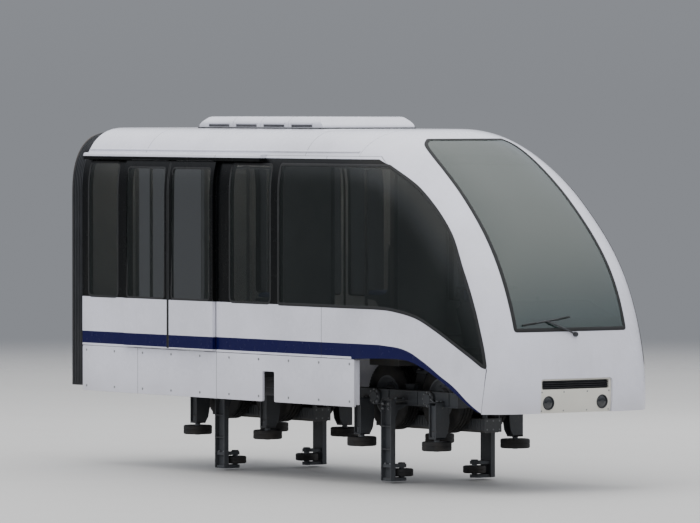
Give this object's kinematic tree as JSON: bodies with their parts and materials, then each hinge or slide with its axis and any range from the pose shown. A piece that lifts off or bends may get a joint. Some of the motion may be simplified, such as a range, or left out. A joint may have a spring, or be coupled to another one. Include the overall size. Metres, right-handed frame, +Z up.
{
  "type": "monorail car",
  "caption": "Leading cab car of a straddle-beam monorail: hollow body with a wrap-round windscreen, hung sliding doors, half gangway, and straddle bogies with tyred running and guide wheels.",
  "frame": {"origin": "on the guide beam's running surface, on the car's centre plane, halfway between the bogie pivots", "axes": "+X forward to the nose, +Y to the car's left, +Z up"},
  "size_m": [7.7369, 2.392, 3.8],
  "materials": {
    "white_paint": "gloss",
    "light_paint": "satin",
    "dark_glass": "tinted",
    "screen_glass": "tinted",
    "bellows_rubber": "matte, ribbed",
    "tyre_rubber": "matte",
    "dark_steel": "satin",
    "motor_case": "satin",
    "trim_grey": "satin",
    "seat_fabric": "woven",
    "lamp_glass": "clear"
  },
  "bodies": {
    "car_body": {"underframe": "dark_steel", "roof_shell": "white_paint", "roof_pod": "white_paint", "nose_shell": "white_paint", "windscreen": "screen_glass", "front_fascia": "light_paint", "rear_end_wall": "trim_grey", "gangway_bellows": "bellows_rubber", "gangway_end_frame": "dark_steel", "rear_drawbar": "dark_steel", "front_coupler": "dark_steel", "cab_bulkhead": "trim_grey", "driver_desk": "trim_grey", "driver_seat": "seat_fabric", "side_wall_right": "white_paint", "skirt_right": "white_paint", "bench_right": "seat_fabric", "headlamp_right": "lamp_glass", "equipment_case_right": "motor_case", "door_rail_right": "white_paint", "quarter_window_right": "dark_glass", "saloon_window_right": "dark_glass", "cab_window_right": "dark_glass", "side_wall_left": "white_paint", "skirt_left": "white_paint", "bench_left": "seat_fabric", "headlamp_left": "lamp_glass", "equipment_case_left": "motor_case", "door_rail_left": "white_paint", "quarter_window_left": "dark_glass", "saloon_window_left": "dark_glass", "cab_window_left": "dark_glass"},
    "door_right_rear_leaf": {"door_right_rear": "white_paint", "door_glass_right_rear": "dark_glass"},
    "door_right_front_leaf": {"door_right_front": "white_paint", "door_glass_right_front": "dark_glass"},
    "door_left_rear_leaf": {"door_left_rear": "white_paint", "door_glass_left_rear": "dark_glass"},
    "door_left_front_leaf": {"door_left_front": "white_paint", "door_glass_left_front": "dark_glass"},
    "front_bogie": {"front_bogie_frame": "dark_steel", "front_linear_motor": "motor_case"},
    "front_bogie_leading_wheelset_body": {"front_bogie_leading_wheelset": "tyre_rubber"},
    "front_bogie_leading_guide_wheel_right_body": {"front_bogie_leading_guide_wheel_right": "tyre_rubber"},
    "front_bogie_leading_guide_wheel_left_body": {"front_bogie_leading_guide_wheel_left": "tyre_rubber"},
    "front_bogie_trailing_wheelset_body": {"front_bogie_trailing_wheelset": "tyre_rubber"},
    "front_bogie_trailing_guide_wheel_right_body": {"front_bogie_trailing_guide_wheel_right": "tyre_rubber"},
    "front_bogie_trailing_guide_wheel_left_body": {"front_bogie_trailing_guide_wheel_left": "tyre_rubber"},
    "front_bogie_stabiliser_wheel_right_body": {"front_bogie_stabiliser_wheel_right": "tyre_rubber"},
    "front_bogie_stabiliser_wheel_left_body": {"front_bogie_stabiliser_wheel_left": "tyre_rubber"},
    "rear_bogie": {"rear_bogie_frame": "dark_steel", "rear_linear_motor": "motor_case"},
    "rear_bogie_leading_wheelset_body": {"rear_bogie_leading_wheelset": "tyre_rubber"},
    "rear_bogie_leading_guide_wheel_right_body": {"rear_bogie_leading_guide_wheel_right": "tyre_rubber"},
    "rear_bogie_leading_guide_wheel_left_body": {"rear_bogie_leading_guide_wheel_left": "tyre_rubber"},
    "rear_bogie_trailing_wheelset_body": {"rear_bogie_trailing_wheelset": "tyre_rubber"},
    "rear_bogie_trailing_guide_wheel_right_body": {"rear_bogie_trailing_guide_wheel_right": "tyre_rubber"},
    "rear_bogie_trailing_guide_wheel_left_body": {"rear_bogie_trailing_guide_wheel_left": "tyre_rubber"},
    "rear_bogie_stabiliser_wheel_right_body": {"rear_bogie_stabiliser_wheel_right": "tyre_rubber"},
    "rear_bogie_stabiliser_wheel_left_body": {"rear_bogie_stabiliser_wheel_left": "tyre_rubber"}
  },
  "joints": [
    {"name": "door_right_rear_slide", "type": "slide", "parent": "car_body", "child": "door_right_rear_leaf", "axis": [-1, 0, 0], "range_m": [0, 0.8]},
    {"name": "door_right_front_slide", "type": "slide", "parent": "car_body", "child": "door_right_front_leaf", "axis": [1, 0, 0], "range_m": [0, 0.8]},
    {"name": "door_left_rear_slide", "type": "slide", "parent": "car_body", "child": "door_left_rear_leaf", "axis": [-1, 0, 0], "range_m": [0, 0.8]},
    {"name": "door_left_front_slide", "type": "slide", "parent": "car_body", "child": "door_left_front_leaf", "axis": [1, 0, 0], "range_m": [0, 0.8]},
    {"name": "front_bogie_yaw", "type": "hinge", "parent": "car_body", "child": "front_bogie", "pos_m": [1.52, 0, 0.7], "axis": [0, 0, 1], "range_deg": [-8, 8]},
    {"name": "front_bogie_leading_axle", "type": "hinge", "parent": "front_bogie", "child": "front_bogie_leading_wheelset_body", "pos_m": [1.99, 0, 0.36], "axis": [0, 1, 0], "continuous": true},
    {"name": "front_bogie_leading_guide_right_spin", "type": "hinge", "parent": "front_bogie", "child": "front_bogie_leading_guide_wheel_right_body", "pos_m": [2.18, -0.51, -0.12], "axis": [0, 0, 1], "continuous": true},
    {"name": "front_bogie_leading_guide_left_spin", "type": "hinge", "parent": "front_bogie", "child": "front_bogie_leading_guide_wheel_left_body", "pos_m": [2.18, 0.51, -0.12], "axis": [0, 0, 1], "continuous": true},
    {"name": "front_bogie_trailing_axle", "type": "hinge", "parent": "front_bogie", "child": "front_bogie_trailing_wheelset_body", "pos_m": [1.05, 0, 0.36], "axis": [0, 1, 0], "continuous": true},
    {"name": "front_bogie_trailing_guide_right_spin", "type": "hinge", "parent": "front_bogie", "child": "front_bogie_trailing_guide_wheel_right_body", "pos_m": [0.86, -0.51, -0.12], "axis": [0, 0, 1], "continuous": true},
    {"name": "front_bogie_trailing_guide_left_spin", "type": "hinge", "parent": "front_bogie", "child": "front_bogie_trailing_guide_wheel_left_body", "pos_m": [0.86, 0.51, -0.12], "axis": [0, 0, 1], "continuous": true},
    {"name": "front_bogie_stabiliser_right_spin", "type": "hinge", "parent": "front_bogie", "child": "front_bogie_stabiliser_wheel_right_body", "pos_m": [1.52, -0.475, -0.42], "axis": [0, 0, 1], "continuous": true},
    {"name": "front_bogie_stabiliser_left_spin", "type": "hinge", "parent": "front_bogie", "child": "front_bogie_stabiliser_wheel_left_body", "pos_m": [1.52, 0.475, -0.42], "axis": [0, 0, 1], "continuous": true},
    {"name": "rear_bogie_yaw", "type": "hinge", "parent": "car_body", "child": "rear_bogie", "pos_m": [-1.52, 0, 0.7], "axis": [0, 0, 1], "range_deg": [-8, 8]},
    {"name": "rear_bogie_leading_axle", "type": "hinge", "parent": "rear_bogie", "child": "rear_bogie_leading_wheelset_body", "pos_m": [-1.05, 0, 0.36], "axis": [0, 1, 0], "continuous": true},
    {"name": "rear_bogie_leading_guide_right_spin", "type": "hinge", "parent": "rear_bogie", "child": "rear_bogie_leading_guide_wheel_right_body", "pos_m": [-0.86, -0.51, -0.12], "axis": [0, 0, 1], "continuous": true},
    {"name": "rear_bogie_leading_guide_left_spin", "type": "hinge", "parent": "rear_bogie", "child": "rear_bogie_leading_guide_wheel_left_body", "pos_m": [-0.86, 0.51, -0.12], "axis": [0, 0, 1], "continuous": true},
    {"name": "rear_bogie_trailing_axle", "type": "hinge", "parent": "rear_bogie", "child": "rear_bogie_trailing_wheelset_body", "pos_m": [-1.99, 0, 0.36], "axis": [0, 1, 0], "continuous": true},
    {"name": "rear_bogie_trailing_guide_right_spin", "type": "hinge", "parent": "rear_bogie", "child": "rear_bogie_trailing_guide_wheel_right_body", "pos_m": [-2.18, -0.51, -0.12], "axis": [0, 0, 1], "continuous": true},
    {"name": "rear_bogie_trailing_guide_left_spin", "type": "hinge", "parent": "rear_bogie", "child": "rear_bogie_trailing_guide_wheel_left_body", "pos_m": [-2.18, 0.51, -0.12], "axis": [0, 0, 1], "continuous": true},
    {"name": "rear_bogie_stabiliser_right_spin", "type": "hinge", "parent": "rear_bogie", "child": "rear_bogie_stabiliser_wheel_right_body", "pos_m": [-1.52, -0.475, -0.42], "axis": [0, 0, 1], "continuous": true},
    {"name": "rear_bogie_stabiliser_left_spin", "type": "hinge", "parent": "rear_bogie", "child": "rear_bogie_stabiliser_wheel_left_body", "pos_m": [-1.52, 0.475, -0.42], "axis": [0, 0, 1], "continuous": true}
  ],
  "couplings": [
    {"joint": "door_right_front_slide", "follows": "door_right_rear_slide", "ratio": 1},
    {"joint": "door_left_front_slide", "follows": "door_left_rear_slide", "ratio": 1}
  ]
}
